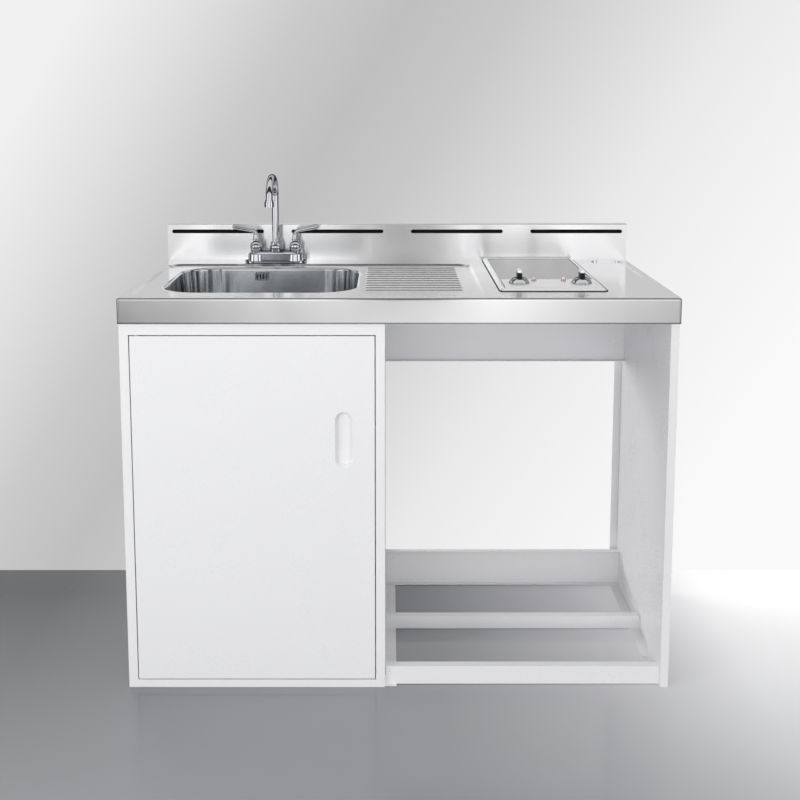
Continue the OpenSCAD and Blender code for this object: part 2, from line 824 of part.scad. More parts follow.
// Lever pointing along +X from its axis: upright stub, bend, and a flared arm that rises to its tip
// and starts a seam's length inside the bend
module lever() {
    arm_l = (lever_reach - lever_bend_r) / cos(lever_tilt);
    difference() {
        union() {
            translate([0, 0, lever_neck_z]) rotate_extrude() {
                square([lever_stub_r + 2, 3]);
                square([lever_stub_r, lever_bend_z - lever_neck_z]);
            }
            translate([lever_bend_r, 0, lever_bend_z]) rotate([90, 0, 0]) rotate([0, 0, 90 + lever_tilt])
                rotate_extrude(angle = 90 - lever_tilt) translate([lever_bend_r, 0]) circle(lever_stub_r - 2);
            translate([0, 0, lever_bend_z]) sphere(lever_stub_r);
            translate([lever_bend_r - lever_bend_r * sin(lever_tilt), 0,
                lever_bend_z + lever_bend_r * cos(lever_tilt)]) rotate([0, 90 - lever_tilt, 0])
                rotate_extrude() {
                    polygon([[0, -lever_seam], [lever_stub_r - 2 - lever_step, -lever_seam],
                        [lever_thin_r, 12], [lever_end_r, arm_l - lever_end_r], [0, arm_l - lever_end_r]]);
                    translate([0, arm_l - lever_end_r]) intersection() {
                        circle(lever_end_r);
                        square(lever_end_r + 1);
                    }
                }
        }
        translate([0, 0, lever_neck_z - 1]) cylinder(r = stem_r, h = 9);
    }
}

module lever_hot() color("lightgray") at_tap(-1) mirror([1, 0, 0]) lever();

module lever_cold() color("lightgray") at_tap(1) lever();

// Threaded tails: the free end below the locknut takes the supply hose
module tap_shanks() color("goldenrod") for (s = [-1, 1])
    at_tap(s) {
        translate([0, 0, tap_z - shank_l]) tube(shank_r, shank_bore, shank_free);
        translate([0, 0, tap_z - shank_l + shank_free])
            tube(shank_r + 0.2, shank_bore, shank_l - shank_free);
    }

module tap_locknuts() color("white") for (s = [-1, 1])
    at_tap(s) translate([0, 0, under_z - nut_h]) difference() {
        union() {
            cylinder(r = nut_r, h = nut_flange);
            cylinder(r = nut_r - nut_wing, h = nut_h);
            for (w = [0, 1])
                mirror([w, 0, 0]) translate([nut_r - nut_wing - 2, -nut_wing_t / 2, 0])
                    cube([2 * nut_wing + 2, nut_wing_t, nut_h]);
        }
        translate([0, 0, -1]) cylinder(r = shank_r + 0.2, h = nut_h + 2);
    }

module spout_collar() color("lightgray") translate([tap_x, tap_y, tap_z + tap_block_h])
    rotate_extrude() difference() {
        union() {
            square([collar_r, 4]);
            intersection() {
                translate([0, 10]) circle(collar_r);
                square([collar_r, collar_h]);
            }
            square([spout_r + 4, collar_h]);
        }
        translate([0, -1]) square([spout_r + run, collar_h + 2]);
    }

// The spout is drawn pointing at the front and turned a little to the left
module at_spout() {
    translate([tap_x, tap_y, 0]) rotate([0, 0, spout_turn]) children();
}

module spout() color("lightgray") at_spout() {
    bore = spout_r - spout_wall;
    translate([0, 0, spout_seat_z + gap]) tube(spout_r, bore, arch_z - spout_seat_z - gap);
    translate([0, -arch_r, arch_z]) rotate([90, 0, 90]) rotate_extrude(angle = 180)
        translate([arch_r, 0]) difference() {
            circle(spout_r);
            circle(bore);
        }
    translate([0, -spout_reach, arch_z - aer_drop]) tube(spout_r, bore, aer_drop);
}

module aerator() color("silver") at_spout() translate([0, -spout_reach, arch_z - aer_drop - aer_h])
    difference() {
        rotate_extrude() {
            square([aer_r, aer_h - aer_neck_h]);
            square([aer_neck_r, aer_h]);
        }
        translate([0, 0, -1]) cylinder(r = aer_r - 2.5, h = 4);
        for (i = [0:5])
            rotate([0, 0, i * 60]) translate([4.5, 0, 0]) cylinder(r = 1.6, h = aer_h + 1);
        cylinder(r = 1.6, h = aer_h + 1);
    }

// ---- hob ----

module hob_surround() color("silver") difference() {
    union() {
        translate([hob_x, hob_y, 0]) round_path(hob_w, hob_d, hob_corner_r)
            polygon([[0, top_z], [-hob_bevel, hob_top], [-hob_bevel, hob_top - hob_plate_t],
                [-hob_plate_t, top_z]]);
        translate([hob_x, hob_y, hob_top - hob_plate_t]) linear_extrude(hob_plate_t)
            rounded(hob_w - 2 * hob_bevel, hob_d - 2 * hob_bevel, hob_corner_r - hob_bevel);
    }
    block([hob_x - glass_w / 2 - 0.5, glass_front_y - 0.5, top_z],
        [hob_x + glass_w / 2 + 0.5, glass_y + glass_d / 2 + 0.5, hob_top + 1]);
    block([hob_x - strip_w / 2 + 3, strip_y - strip_d / 2 + 3, top_z],
        [hob_x + strip_w / 2 - 3, glass_front_y, hob_top + 1]);
}

module hob_glass() color("dimgray") translate([hob_x, glass_y, glass_z - glass_t])
    linear_extrude(glass_t) rounded(glass_w, glass_d, 3);

module hob_control_strip() color("gainsboro") difference() {
    translate([hob_x - strip_w / 2, 0, hob_top]) rotate([90, 0, 90]) linear_extrude(strip_w)
        difference() {
            polygon([[strip_y - strip_d / 2, 0], [strip_y - strip_d / 2 + 6, strip_h],
                [strip_y + strip_d / 2 - 2, strip_h], [strip_y + strip_d / 2 - 1, 0]]);
            polygon([[strip_y - strip_d / 2 + 3, -1], [strip_y - strip_d / 2 + 7.5, strip_h - strip_t],
                [strip_y + strip_d / 2 - 3.5, strip_h - strip_t], [strip_y + strip_d / 2 - 3, -1]]);
        }
    for (s = [-1, 1]) {
        translate([hob_x + s * knob_pitch / 2, knob_y, hob_top - 1]) cylinder(r = shaft_r + 1, h = 10);
        translate([hob_x + s * lamp_pitch / 2, lamp_y, hob_top - 1]) cylinder(r = lamp_r - 2, h = 10);
    }
}

module hob_lamps() color("red") for (s = [-1, 1])
    translate([hob_x + s * lamp_pitch / 2, lamp_y, strip_top]) rotate_extrude() {
        square([lamp_r, 1]);
        square([lamp_lens_r, lamp_h - lamp_lens_r]);
        intersection() {
            translate([0, lamp_h - lamp_lens_r]) circle(lamp_lens_r);
            square([lamp_r, lamp_h]);
        }
    }

module hob_case() color("lightgray") translate([hob_x, hob_y, case_z]) difference() {
    linear_extrude(hob_top - hob_plate_t - case_z) rounded(case_w, case_d, hob_cut_r - 1);
    translate([0, 0, case_t]) linear_extrude(hob_top - case_z)
        rounded(case_w - 2 * case_t, case_d - 2 * case_t, hob_cut_r - 1 - case_t);
    for (i = [-4:4])
        translate([i * case_slot_pitch, case_d / 2 - case_slot_l, -1]) linear_extrude(case_t + 2)
            rotate(90) stadium(case_slot_l, case_slot_w);
}

// Radiant heater: a dish of insulation with a rim and a coil of ribbon in rings
module element(r) {
    rotate_extrude() {
        translate([0, -zone_h]) square([r, zone_h - 12]);
        translate([r - 6, -zone_h]) square([6, zone_h]);
        for (i = [1:5])
            translate([r * i / 6, -12]) square([1.2, 5]);
    }
}

module hob_element_front() color("beige") translate([hob_x, zone_front_y, zone_top]) element(zone_front_r);

module hob_element_rear() color("beige") translate([hob_x, zone_rear_y, zone_top]) element(zone_rear_r);

module hob_regulators() color("saddlebrown") for (s = [-1, 1])
    translate([hob_x + s * knob_pitch / 2, knob_y, 0]) difference() {
        union() {
            translate([-reg_w / 2, -reg_w / 2, reg_top - reg_h - 4]) cube([reg_w, reg_w, reg_h]);
            translate([0, 0, reg_top - 4]) cylinder(r = 6, h = 4);
        }
        translate([0, 0, reg_top - shaft_len + shaft_up - gap])
            cylinder(r = shaft_r + run, h = 3 * shaft_len);
    }

module regulator_shaft() {
    translate([0, 0, reg_top - shaft_len + shaft_up])
        cylinder(r = shaft_r, h = shaft_len + shaft_up);
}

module regulator_shaft_left() color("gray") translate([hob_x - knob_pitch / 2, knob_y, 0])
    regulator_shaft();

module regulator_shaft_right() color("gray") translate([hob_x + knob_pitch / 2, knob_y, 0])
    regulator_shaft();

// Knob: bevelled skirt, round shoulder and an upright grip blade
module knob() {
    z = strip_top + knob_gap;
    difference() {
        union() {
            translate([0, 0, z]) rotate_extrude() {
                polygon([[0, 0], [knob_r, 0], [knob_r, 2], [knob_r - skirt_step, skirt_h / 2],
                    [skirt_top_r, skirt_h], [0, skirt_h]]);
            }
            intersection() {
                translate([-blade_t / 2, -grip_r, z + skirt_h / 2])
                    cube([blade_t, 2 * grip_r, knob_h - skirt_h / 2]);
                translate([0, 0, z + knob_h - grip_r * 1.35]) rotate([0, 90, 0])
                    cylinder(r = grip_r * 1.35, h = blade_t, center = true);
            }
        }
        translate([0, 0, z - 1]) cylinder(r = shaft_r, h = reg_top + 16 - z + 1);
    }
}

module knob_left() color("black") translate([hob_x - knob_pitch / 2, knob_y, 0]) knob();

module knob_right() color("black") translate([hob_x + knob_pitch / 2, knob_y, 0]) knob();

module hob_terminal_box() color("gray") {
    y0 = rear_y + wall_t;
    z0 = rear_high_z + box_up;
    translate([hob_x - box_w / 2, y0, z0]) difference() {
        cube([box_w, box_d, box_h]);
        translate([wall_t, -1, wall_t]) cube([box_w - 2 * wall_t, box_d - wall_t + 1, box_h - 2 * wall_t]);
        translate([box_w / 2, box_d / 2, -1]) cylinder(r = gland_r, h = wall_t + 2);
    }
}

module hob_cable_gland() color("black") translate([hob_x, rear_y + wall_t + box_d / 2, rear_high_z + box_up])
    difference() {
        union() {
            translate([0, 0, -gland_l]) cylinder(r = gland_r - 0.1, h = gland_l + wall_t + 6);
            translate([0, 0, -gland_l + 2]) cylinder(r = gland_r + 4, h = gland_l - 2, $fn = 6);
        }
        translate([0, 0, -gland_l - 1]) cylinder(r = gland_bore, h = gland_l + 20);
    }

// ---- cabinet ----

module cabinet_left_side() color("white") {
    x = cab_left;
    y0 = cab_y0 + wall_t;
    block([x, y0, 0], [x + wall_t, cab_y1, side_top]);
    block([x, y0 + 30, 0], [x + flange, cab_y1, wall_t]);
    block([x, cab_y1 - wall_t, 0], [x + flange, cab_y1, lip_z]);
}

module cabinet_divider() color("white") {
    y0 = cab_y0 + wall_t;
    block([div_x0, y0, 0], [div_x1, cab_y1, lip_z]);
    block([div_x0, y0, lip_z], [div_x1, rear_rail_y - wall_t, field_under]);
    block([div_x1 - flange, y0 + 30, 0], [div_x1, cab_y1, wall_t]);
    block([div_x1 - flange, cab_y1 - wall_t, 0], [div_x1, cab_y1, lip_z]);
}

// Folded frame: a flat face with returns that run back round the door and up behind the lip
module cabinet_face_frame() color("white") difference() {
    union() {
        block([cab_left, cab_y0, 0], [div_x1, cab_y0 + wall_t, field_under - 1]);
        block([open_x0 - wall_t, cab_y0, open_z0 - wall_t],
            [open_x1 + wall_t, cab_y0 + frame_return, open_z1 + wall_t]);
    }
    block([open_x0, cab_y0 - 1, open_z0], [open_x1, cab_y0 + frame_return + 1, open_z1]);
    translate([hinge_x, hinge_y, 0]) cylinder(r = bush_r, h = top_z);
}

module cabinet_floor() color("whitesmoke") {
    x0 = cab_left + wall_t;
    y0 = cab_y0 + frame_return + gap;
    y1 = cab_y1 - wall_t;
    z = open_z0;
    block([x0, y0, z - wall_t], [div_x0, y1, z]);
    block([x0, y0, wall_t], [div_x0, y0 + wall_t, z]);
    block([x0, y1 - wall_t, wall_t], [div_x0, y1, z]);
}

module cabinet_back() color("whitesmoke") difference() {
    x0 = cab_left + flange;
    x1 = div_x1 - flange;
    union() {
        translate([0, cab_y1, 0]) rotate([90, 0, 0]) linear_extrude(wall_t) difference() {
            translate([x0, 0]) square([x1 - x0, lip_z]);
            translate([bowl_x, lip_z / 2 + plumb_up]) rounded(plumb_w, plumb_h, 20);
        }
        for (x = [x0, x1 - wall_t])
            block([x, cab_y1 - wall_t - fold, open_z0], [x + wall_t, cab_y1 - wall_t, lip_z]);
    }
    tap_room();
}

// Angle under the rear of the worktop, with the two holes that fix the unit to a wall
module rear_top_rail() color("whitesmoke") difference() {
    x0 = cab_left + 2 * wall_t;
    x1 = cab_out - 2 * wall_t;
    union() {
        block([x0, rear_rail_y - wall_t, lip_z], [x1, rear_rail_y, under_z]);
        block([x0, rear_rail_y - rear_rail_d, under_z - wall_t], [x1, rear_rail_y, under_z]);
    }
    for (s = [-1, 1])
        translate([s * wall_hole_pitch / 2, rear_rail_y, (lip_z + under_z) / 2]) rotate([90, 0, 0])
            cylinder(r = wall_hole_r, h = 4 * wall_t, center = true);
}

// ---- door ----

module pull_outline(grow) {
    translate([pull_x, pull_z]) rotate(90) stadium(pull_l + 2 * grow, pull_w + 2 * grow);
}

module door_outer() color("white") difference() {
    block([door_x0, door_y0, door_z0], [door_x1, door_y1 - wall_t - 0.2, door_z1]);
    block([door_x0 + wall_t, door_y0 + wall_t, door_z0 + wall_t],
        [door_x1 - wall_t, door_y1, door_z1 - wall_t]);
    translate([0, door_y0 + wall_t + 1, 0]) rotate([90, 0, 0]) linear_extrude(wall_t + 2) pull_outline(0);
    translate([hinge_x, hinge_y, 0]) cylinder(r = pin_r, h = top_z);
}

module door_liner() color("whitesmoke") {
    in = wall_t + 0.3;
    block([door_x0, door_y1 - wall_t - 0.2, door_z0], [door_x1, door_y1 - 0.2, door_z1]);
    difference() {
        block([door_x0 + in, door_y1 - wall_t - 0.2 - liner_rim, door_z0 + in],
            [door_x1 - in, door_y1 - wall_t - 0.2, door_z1 - in]);
        block([door_x0 + in + wall_t, door_y0, door_z0 + in + wall_t],
            [door_x1 - in - wall_t, door_y1, door_z1 - in - wall_t]);
        for (z = [door_z0, door_z1])
            block([door_x0, door_y0, z - pin_block_h - 3],
                [hinge_x + pin_block_x + 2, door_y1, z + pin_block_h + 3]);
    }
}

// Cup with a flat floor and sloped walls that narrow to the back
module door_pull() color("white") translate([pull_x, door_y0, pull_z]) rotate([-90, 0, 0]) difference() {
    r0 = pull_w / 2;
    r1 = r0 - pull_slope;
    reach = (pull_l - pull_w) / 2;
    linear_extrude(pull_depth + pull_t) rotate(90) stadium(pull_l, pull_w);
    for (s = [-1, 1])
        translate([0, s * reach, -eps]) cylinder(r1 = r0 - pull_t, r2 = r1, h = pull_depth + eps);
    rotate([90, 0, 0]) linear_extrude(2 * reach, center = true)
        polygon([[-r0 + pull_t, -eps], [r0 - pull_t, -eps], [r1, pull_depth], [-r1, pull_depth]]);
}

module door_hinge_pins() color("gray") for (s = [-1, 1]) {
    z_edge = s > 0 ? door_z1 : door_z0;
    z_in = z_edge - s * (wall_t + 0.2);
    translate([hinge_x, hinge_y, min(z_in - s * 24, z_edge + s * pin_up)])
        cylinder(r = pin_r, h = pin_up + wall_t + 0.2 + 24);
    block([hinge_x - 6, door_y0 + wall_t + 0.2, min(z_in, z_in - s * pin_block_h)],
        [hinge_x + pin_block_x, door_y1 - wall_t - 0.6, max(z_in, z_in - s * pin_block_h)]);
}

// Flanged nylon bushes in the frame's returns; the lower flange carries the door
module hinge_bushes() color("ivory") for (s = [-1, 1]) {
    z = s > 0 ? open_z1 : open_z0;
    translate([hinge_x, hinge_y, z]) mirror([0, 0, s > 0 ? 0 : 1]) difference() {
        union() {
            cylinder(r = bush_r, h = 9);
            translate([0, 0, -door_gap + gap]) cylinder(r = bush_r - 1, h = door_gap);
            translate([0, 0, wall_t]) cylinder(r = bush_flange_r, h = 2);
        }
        translate([0, 0, -5]) cylinder(r = pin_r + run, h = 40);
    }
}

module door_catch() color("ivory") {
    x1 = open_x1;
    y0 = door_y1 + strike_t + gap;
    difference() {
        block([x1 - catch_w, y0, catch_z - catch_l / 2], [x1, y0 + catch_d, catch_z + catch_l / 2]);
        block([x1 - catch_w - 1, y0 - 1, catch_z - 15], [x1 - catch_w + 5, y0 + 4, catch_z + 15]);
    }
}

module door_strike() color("silver")
    block([door_x1 - 24, door_y1 - 0.2, catch_z - 20], [door_x1 - 2, door_y1 - 0.2 + strike_t, catch_z + 20]);

// ---- refrigerator bay ----

// Right side: outer skin, front flange, a hollow post behind it and a rear flange
module bay_side_panel() color("white") difference() {
    bay_side_sheet();
    for (z = [runner_leg + 4, rear_high_z + 12])
        block([inner_x1 - wall_t - gap, hook_y - gap, z - gap],
            [inner_x1, hook_y + hook_w + gap, z + hook_h + gap]);
}

module bay_side_sheet() {
    x0 = bay_x1;
    x1 = cab_out;
    post_y = cab_y0 + post_d;
    linear_extrude(lip_z) {
        translate([x1 - wall_t, cab_y0]) square([wall_t, cab_d]);
        translate([x0, cab_y0]) square([x1 - x0, wall_t]);
        translate([x0, cab_y0]) square([wall_t, post_d - flange_w]);
        polygon([[x0, post_y - flange_w], [x0 + wall_t, post_y - flange_w],
            [x1 - wall_t, post_y - wall_t * 2], [x1 - wall_t, post_y]]);
        translate([x1 - flange, cab_y1 - wall_t]) square([flange, wall_t]);
    }
    block([x1 - wall_t, cab_y0, lip_z], [x1, cab_y1, side_top]);
}

module bay_top_rail() color("whitesmoke") {
    y0 = cab_y0 + wall_t;
    z1 = field_under - 1;
    block([bay_x0, y0, lip_z + 6], [inner_x1, y0 + wall_t, z1]);
    block([bay_x0, y0, z1 - wall_t], [inner_x1, y0 + 16, z1]);
    block([bay_x0, y0, lip_z + 6], [inner_x1, y0 + 16, lip_z + 6 + wall_t]);
}

module bay_rear_upper() color("whitesmoke") {
    block([bay_x0, rear_y, rear_high_z], [inner_x1, rear_y + wall_t, lip_z]);
    block([bay_x0, rear_y - fold, rear_high_z], [inner_x1, rear_y, rear_high_z + wall_t]);
}

module bay_rear_lower() color("whitesmoke") {
    z1 = rear_low_z + rear_low_h;
    block([bay_x0, rear_y, rear_low_z], [inner_x1, rear_y + wall_t, z1]);
    block([bay_x0, rear_y - fold, z1 - wall_t], [inner_x1, rear_y, z1]);
    block([bay_x0, rear_y - fold, rear_low_z], [inner_x1, rear_y, rear_low_z + wall_t]);
}

// Channel across the bay's floor
module floor_rail(y, h, x1) {
    x0 = bay_x0 + wall_t;
    block([x0, y, rail_z], [x1, y + wall_t, rail_z + h]);
    block([x0, y, rail_z + h - wall_t], [x1, y + rail_flange, rail_z + h]);
    block([x0, y + rail_flange - wall_t, rail_z + h - 8], [x1, y + rail_flange, rail_z + h]);
    block([x0, y, rail_z], [x1, y + rail_flange, rail_z + wall_t]);
}

module bay_front_rail() color("white") floor_rail(rail_front_y, rail_front_h, bay_x1);

module bay_middle_rail() color("white") floor_rail(rail_mid_y, rail_mid_h, inner_x1 - wall_t);

// Angles along both walls that carry the floor rails
module bay_runners() color("whitesmoke") {
    for (s = [0, 1]) {
        x = s == 0 ? bay_x0 : inner_x1;
        d = s == 0 ? 1 : -1;
        y0 = s == 0 ? cab_y0 + 4 : cab_y0 + post_d + 2;
        y1 = rear_y - fold - 1;
        block([min(x, x + d * wall_t), y0, 0], [max(x, x + d * wall_t), y1, runner_leg]);
        block([min(x, x + d * runner_leg), y0, 0], [max(x, x + d * runner_leg), y1, wall_t]);
    }
}

// Screw heads on the rear panels and the hook tabs on the right rear flange
module bay_fixings() color("silver") {
    for (x = [bay_x0 + screw_in, inner_x1 - screw_in],
        z = [rear_low_h - screw_in, rear_high_z + 2 * screw_in])
        translate([x, rear_y, z]) rotate([90, 0, 0])
            cylinder(r1 = screw_r, r2 = screw_r - 1, h = screw_h);
    for (z = [runner_leg + 4, rear_high_z + 12])
        translate([inner_x1, hook_y, z]) rotate([0, -90, 0]) linear_extrude(wall_t)
            difference() {
                square([hook_h, hook_w]);
                translate([hook_h * 0.3, hook_w / 2]) circle(3.2);
                translate([hook_h * 0.3, hook_w / 2 - 1.6]) square([hook_h * 0.45, 3.2]);
            }
}

worktop();
sink_bowl();
splashback();
splash_vent_liner();
overflow_rose();
overflow_screw();
overflow_pipe();
waste_body();
waste_gasket();
waste_locknut();
waste_tailpiece();
strainer_basket();
tap_body();
tap_gasket();
tap_cartridge_hot();
tap_cartridge_cold();
tap_stem_hot();
tap_stem_cold();
lever_hot();
lever_cold();
tap_shanks();
tap_locknuts();
spout_collar();
spout();
aerator();
hob_surround();
hob_glass();
hob_control_strip();
hob_lamps();
hob_case();
hob_element_front();
hob_element_rear();
hob_regulators();
regulator_shaft_left();
regulator_shaft_right();
knob_left();
knob_right();
hob_terminal_box();
hob_cable_gland();
cabinet_left_side();
cabinet_divider();
cabinet_face_frame();
cabinet_floor();
cabinet_back();
rear_top_rail();
door_outer();
door_liner();
door_pull();
door_hinge_pins();
hinge_bushes();
door_catch();
door_strike();
bay_side_panel();
bay_top_rail();
bay_rear_upper();
bay_rear_lower();
bay_front_rail();
bay_middle_rail();
bay_runners();
bay_fixings();
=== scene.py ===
# Looks of a compact kitchenette: steel worktop with sink, drainer and hob over a sink cabinet
# and an open bay. The front looks towards -Y. Lengths are in metres in the materials, the lamps
# and the stage, and in millimetres in the pieces of the hob and in the place of the camera.
import math

import bmesh
import bpy
from mathutils import Matrix, Vector


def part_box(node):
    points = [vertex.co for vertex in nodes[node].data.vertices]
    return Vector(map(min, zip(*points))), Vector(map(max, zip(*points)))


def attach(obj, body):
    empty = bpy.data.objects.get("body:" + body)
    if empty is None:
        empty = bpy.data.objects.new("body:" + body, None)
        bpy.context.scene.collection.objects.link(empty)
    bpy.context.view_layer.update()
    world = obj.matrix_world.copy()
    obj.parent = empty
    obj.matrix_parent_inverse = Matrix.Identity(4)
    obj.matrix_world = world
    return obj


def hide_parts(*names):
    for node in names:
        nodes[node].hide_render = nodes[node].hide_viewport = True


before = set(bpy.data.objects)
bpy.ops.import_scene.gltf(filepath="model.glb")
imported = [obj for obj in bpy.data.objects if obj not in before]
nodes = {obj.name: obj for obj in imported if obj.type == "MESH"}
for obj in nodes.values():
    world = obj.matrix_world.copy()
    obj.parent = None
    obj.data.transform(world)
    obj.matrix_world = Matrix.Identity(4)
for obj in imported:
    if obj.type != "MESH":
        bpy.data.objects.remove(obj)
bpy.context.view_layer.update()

MM = 0.001
QUARTER = math.pi / 2


def box_mm(node):
    """Lowest and highest corner of a CAD node, in millimetres."""
    return [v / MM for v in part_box(node)]


def plan(low, high):
    """Middle, width and depth of a box, seen from above."""
    return (low.x + high.x) / 2, (low.y + high.y) / 2, high.x - low.x, high.y - low.y


# ---------------------------------------------------------------- colours and shader nodes

# Most of a noise lies between these values
NOISE_SPAN = (0.3, 0.7)


def linear(level):
    """A tone of 0 to 255, as it shows on a screen, as linear light."""
    c = level / 255
    return c / 12.92 if c <= 0.04045 else ((c + 0.055) / 1.055) ** 2.4


def tone(r, g=None, b=None):
    """Colour from tones of 0 to 255; one tone alone gives a grey."""
    g = r if g is None else g
    b = r if b is None else b
    return (linear(r), linear(g), linear(b), 1)


def darker(colour, part):
    """The same colour with only this part of its light."""
    return tuple(part * c for c in colour[:3]) + (1,)


class Tree:
    """A node tree with short calls to add and join nodes."""

    def __init__(self, tree):
        self.tree = tree
        self.tree.nodes.clear()

    def add(self, kind, settings=None, **inputs):
        """New node; an input may be a value, a socket or a node whose first output is taken."""
        node = self.tree.nodes.new(kind)
        for key, value in (settings or {}).items():
            setattr(node, key, value)
        for key, value in inputs.items():
            self.set(node, key.replace("_", " "), value)
        return node

    def set(self, node, name, value):
        socket = node.inputs[int(name)] if name.isdigit() else node.inputs[name]
        if isinstance(value, bpy.types.NodeSocket):
            self.tree.links.new(value, socket)
        elif isinstance(value, bpy.types.Node):
            self.tree.links.new(value.outputs[0], socket)
        else:
            socket.default_value = value

    def set_all(self, node, first, *values):
        """Fill the numbered inputs of a node, from one number on."""
        for i, value in enumerate(values):
            self.set(node, str(first + i), value)
        return node

    def math(self, operation, *values):
        return self.set_all(self.add("ShaderNodeMath", {"operation": operation}), 0, *values)

    def ramp(self, value, stops):
        """Colours by a value of 0 to 1; stops holds (place, colour)."""
        node = self.add("ShaderNodeValToRGB", Fac=value)
        ramp = node.color_ramp
        while len(ramp.elements) < len(stops):
            ramp.elements.new(0.5)
        for element, (place, colour) in zip(ramp.elements, stops):
            element.position = place
            element.color = colour
        return node

    def wide_ramp(self, value, stops, unit=1.0):
        """Colours by a value in the stops' own places; unit is what one of these measures in it."""
        low, high = stops[0][0], stops[-1][0]
        inner = [((place - low) / (high - low), colour) for place, colour in stops]
        return self.ramp(self.span(value, unit * low, unit * high, 0, 1), inner)

    def blend(self, mode, factor, first, second):
        """Mix of two colours: the first at 0, the second at 1."""
        node = self.add("ShaderNodeMix", {"data_type": "RGBA", "blend_type": mode})
        self.set(node, "0", factor)
        self.set_all(node, 6, first, second)
        return node.outputs[2]

    def either(self, factor, first, second):
        """Mix of two shaders: the first at 0, the second at 1."""
        return self.set_all(self.add("ShaderNodeMixShader"), 0, factor, first, second)

    def span(self, value, low, high, to_low, to_high):
        """A value laid out anew, and held at the ends: low becomes to_low, high becomes to_high."""
        node = self.add("ShaderNodeMapRange")
        names = ("Value", "From Min", "From Max", "To Min", "To Max")
        for name, given in zip(names, (value, low, high, to_low, to_high)):
            self.set(node, name, given)
        return node

    def spread(self, noise, low, high):
        """A noise laid out between two values."""
        return self.span(noise, NOISE_SPAN[0], NOISE_SPAN[1], low, high)

    def split(self, vector):
        """The three parts of a vector, by their letter."""
        return self.add("ShaderNodeSeparateXYZ", Vector=vector).outputs

    def place(self, scale=(1, 1, 1)):
        """The object's own coordinates, stretched where the scale is small."""
        at = self.add("ShaderNodeTexCoord")
        return self.add("ShaderNodeMapping", Vector=at.outputs["Object"], Scale=scale)

    def noise(self, vector, scale, detail, roughness=0.5):
        return self.add("ShaderNodeTexNoise", Vector=vector, Scale=scale, Detail=detail,
                        Roughness=roughness)


def new_material(name):
    material = bpy.data.materials.new(name)
    material.use_nodes = True
    return material, Tree(material.node_tree)


# ---------------------------------------------------------------- materials

FINE_NOISE = dict(detail=4, roughness=0.6)
BROAD_NOISE = dict(scale=9, detail=2)
# How much rougher or smoother the broad noise makes a place
BROAD_ROUGH = 0.015
# Part of its light that a colour keeps: where it is fully mottled (random tone), where painted shade
# lies along the bottom of the front edge, and where painted shade lies in the bends that lean to the
# front
MOTTLE_DARK = 0.82
HEM_SHADE_DARK = 0.3
BEND_SHADE_DARK = 0.4


def surface(name, colour, metallic=0.0, rough=(0.3, 0.4), mottle=0.04, grain=(1, 1, 1),
            grain_scale=480, bump=0.05, bump_size=0.0002, across=None, pressed=None,
            front_gloss=None, hem=None, crease=None, **sockets):
    """Principled surface with its colour, gloss and relief varied by two sizes of noise.

    mottle is how far the broad noise goes towards the mottled colour; grain is small along
    the brush lines; across is the direction square to them, along which a highlight is drawn
    out; pressed is the long waviness along X that a pressed sheet has; front_gloss smooths the
    front edge; hem lays painted shade on what lies below a height, where the edge
    turns under; crease lays painted shade on the narrow bends that lean to the front.
    """
    material, t = new_material(name)
    fine = t.noise(t.place(grain), grain_scale, **FINE_NOISE)
    broad = t.noise(t.place(), **BROAD_NOISE)
    wear_and_painted_shade = t.blend("MIX", t.spread(broad, 0, mottle), colour, darker(colour, MOTTLE_DARK))
    if across:
        sockets["Tangent"] = t.add("ShaderNodeCombineXYZ", **dict(zip("XYZ", across)))
    roughness = t.math("ADD", t.spread(fine, rough[0], rough[1]),
                       t.spread(broad, -BROAD_ROUGH, BROAD_ROUGH))
    relief = t.add("ShaderNodeBump", Strength=bump, Distance=bump_size, Height=fine)
    at = t.split(t.add("ShaderNodeTexCoord").outputs["Object"])
    if front_gloss:
        near, far, less = front_gloss
        roughness = t.math("ADD", roughness, t.span(at["Y"], near, far, less, 0))
    # Painted shade: the colour is darkened below a height, along the bottom of the front edge
    if hem:
        under = t.span(at["Z"], hem[0], hem[1], 1, 0)
        wear_and_painted_shade = t.blend("MIX", under, wear_and_painted_shade, darker(colour, HEM_SHADE_DARK))
    # Painted shade: faces that lean to the front and upwards, such as the rounded top of the front edge,
    # are darkened by their normal
    if crease:
        y_from, y_full, z_from, z_full = crease
        facing = t.split(t.add("ShaderNodeNewGeometry").outputs["Normal"])
        bend = t.math("MULTIPLY", t.span(facing["Y"], y_from, y_full, 0, 1),
                      t.span(facing["Z"], z_from, z_full, 0, 1))
        wear_and_painted_shade = t.blend("MIX", bend, wear_and_painted_shade, darker(colour, BEND_SHADE_DARK))
    if pressed:
        centre, slope, curve = pressed
        along = t.math("SUBTRACT", at["X"], centre)
        wave = t.math("MULTIPLY", along, t.math("MULTIPLY_ADD", along, curve / 2, slope))
        t.set(relief, "Normal", t.add("ShaderNodeBump", Strength=1.0, Distance=1.0, Height=wave))
    shader = t.add("ShaderNodeBsdfPrincipled", Base_Color=wear_and_painted_shade, Metallic=metallic,
                   Roughness=roughness, Normal=relief, **sockets)
    t.add("ShaderNodeOutputMaterial", Surface=shader)
    return material


STEEL = tone(250, 250, 251)
METAL = dict(metallic=1.0, mottle=0.05, bump_size=0.00002, grain_scale=1760)
BRUSHED_ALONG_X = (0.02, 1, 1)
BRUSHED_UPRIGHT = (1, 1, 0.03)
ACROSS_X = (0.0, 0.7, 0.71)
ROUND_BOWL = (0.05, 0.03, 1.0)
# Waviness of the pressed bowl: where it is measured from (X), its slope there, and its curvature
BOWL_PRESSED = (-0.3175, -0.016, -0.006)
# The upright front edge is smoother: fully up to the first Y, not beyond the second, by so much
LIP_GLOSS = (-0.316, -0.306, -0.07)
